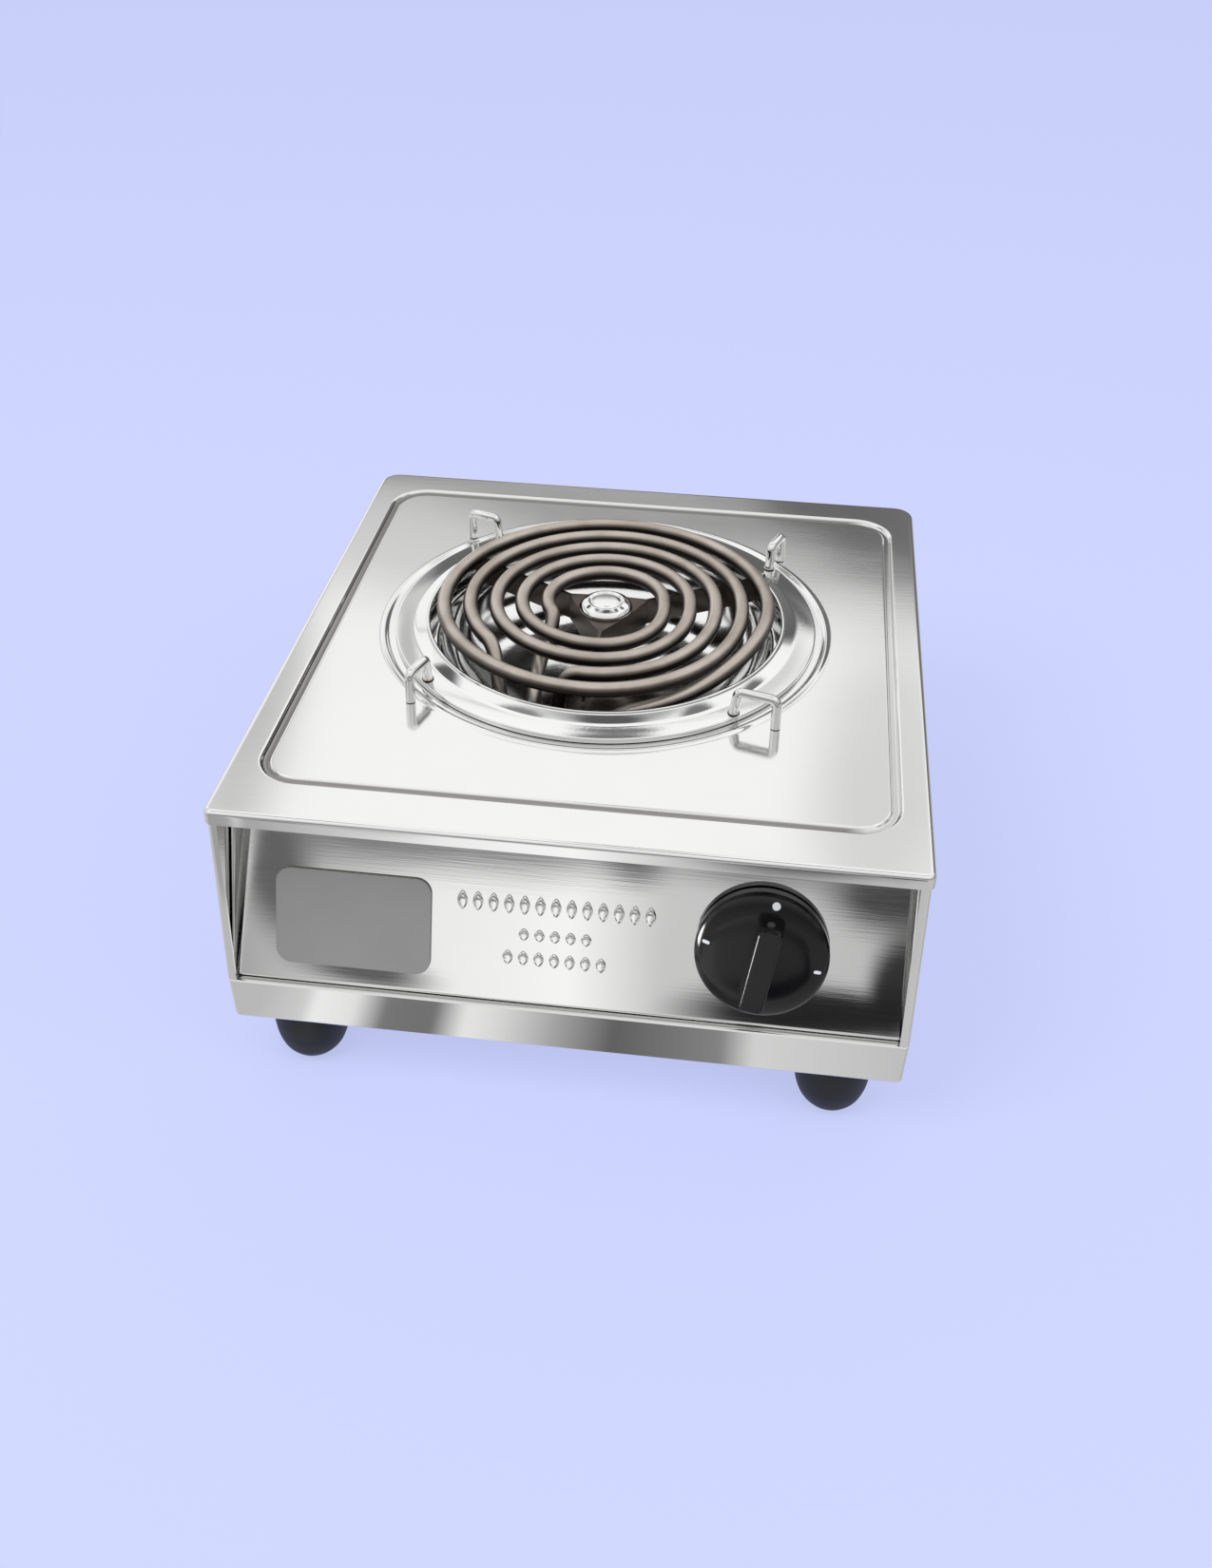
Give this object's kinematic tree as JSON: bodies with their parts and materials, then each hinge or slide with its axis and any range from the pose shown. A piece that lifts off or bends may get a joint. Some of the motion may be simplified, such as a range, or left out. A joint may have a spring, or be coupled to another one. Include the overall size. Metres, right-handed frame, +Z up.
{
  "type": "electric hotplate",
  "caption": "Electric hotplate in polished stainless steel, with a spiral tubular element over a drip bowl, a loose pan ring with wire supports and a rotary switch knob on the front.",
  "frame": {"origin": "on the surface it stands on, under the middle of the whole object's box", "axes": "+Z up, the front with the knob towards -Y, +X to the right seen from the front"},
  "size_m": [0.2828, 0.3206, 0.1533],
  "materials": {
    "polished_steel": "mirror polished stainless sheet",
    "bracket_steel": "plain zinc-plated steel",
    "heater_sheath": "satin, slightly browned by heat",
    "black_knob": "gloss black moulding",
    "black_rubber": "matt black moulding",
    "nameplate_grey": "satin grey, bare",
    "ceramic": "glazed off-white ceramic",
    "phenolic": "dark brown moulding",
    "brass": "plain",
    "red_wire": "wire covering",
    "blue_wire": "wire covering",
    "green_wire": "wire covering"
  },
  "bodies": {
    "stove": {"top_plate": "polished_steel", "body_wrap": "polished_steel", "front_panel": "polished_steel", "base_tray": "polished_steel", "drip_bowl": "polished_steel", "centre_medallion": "polished_steel", "element_spider": "bracket_steel", "block_bracket": "bracket_steel", "medallion_screw": "bracket_steel", "block_screw_1": "bracket_steel", "block_screw_2": "bracket_steel", "switch_screw_1": "bracket_steel", "switch_screw_2": "bracket_steel", "supply_screw": "bracket_steel", "foot_screw_1": "bracket_steel", "foot_screw_2": "bracket_steel", "foot_screw_3": "bracket_steel", "foot_screw_4": "bracket_steel", "tray_screw_1": "bracket_steel", "tray_screw_2": "bracket_steel", "tray_screw_3": "bracket_steel", "tray_screw_4": "bracket_steel", "terminal_pin_1": "bracket_steel", "terminal_pin_2": "bracket_steel", "terminal_pin_3": "bracket_steel", "terminal_pin_4": "bracket_steel", "outer_heater_tube": "heater_sheath", "inner_heater_tube": "heater_sheath", "cord_gland": "black_knob", "gland_nut": "black_knob", "rubber_foot_1": "black_rubber", "rubber_foot_2": "black_rubber", "rubber_foot_3": "black_rubber", "rubber_foot_4": "black_rubber", "nameplate": "nameplate_grey", "terminal_bead_1": "ceramic", "terminal_bead_2": "ceramic", "terminal_bead_3": "ceramic", "terminal_bead_4": "ceramic", "terminal_block": "ceramic", "switch_cover": "ceramic", "supply_terminal": "ceramic", "switch_body": "phenolic", "earth_screw": "brass", "switch_lead": "red_wire", "outer_lead": "red_wire", "inner_lead": "red_wire", "neutral_lead": "blue_wire", "earth_lead": "green_wire"},
    "knob": {"control_knob": "black_knob", "switch_shaft": "brass", "switch_cam": "phenolic"},
    "ring": {"pan_ring": "polished_steel", "pan_support_1": "polished_steel", "pan_support_2": "polished_steel", "pan_support_3": "polished_steel", "pan_support_4": "polished_steel"}
  },
  "joints": [
    {"name": "knob_turn", "type": "hinge", "parent": "stove", "child": "knob", "pos_m": [0.0782, -0.13518, 0.0849], "axis": [0, -0.9659, 0.2588], "range_deg": [-260, 10]},
    {"name": "ring_lift", "type": "slide", "parent": "stove", "child": "ring", "axis": [0, 0, 1], "range_m": [0, 0.05]}
  ]
}
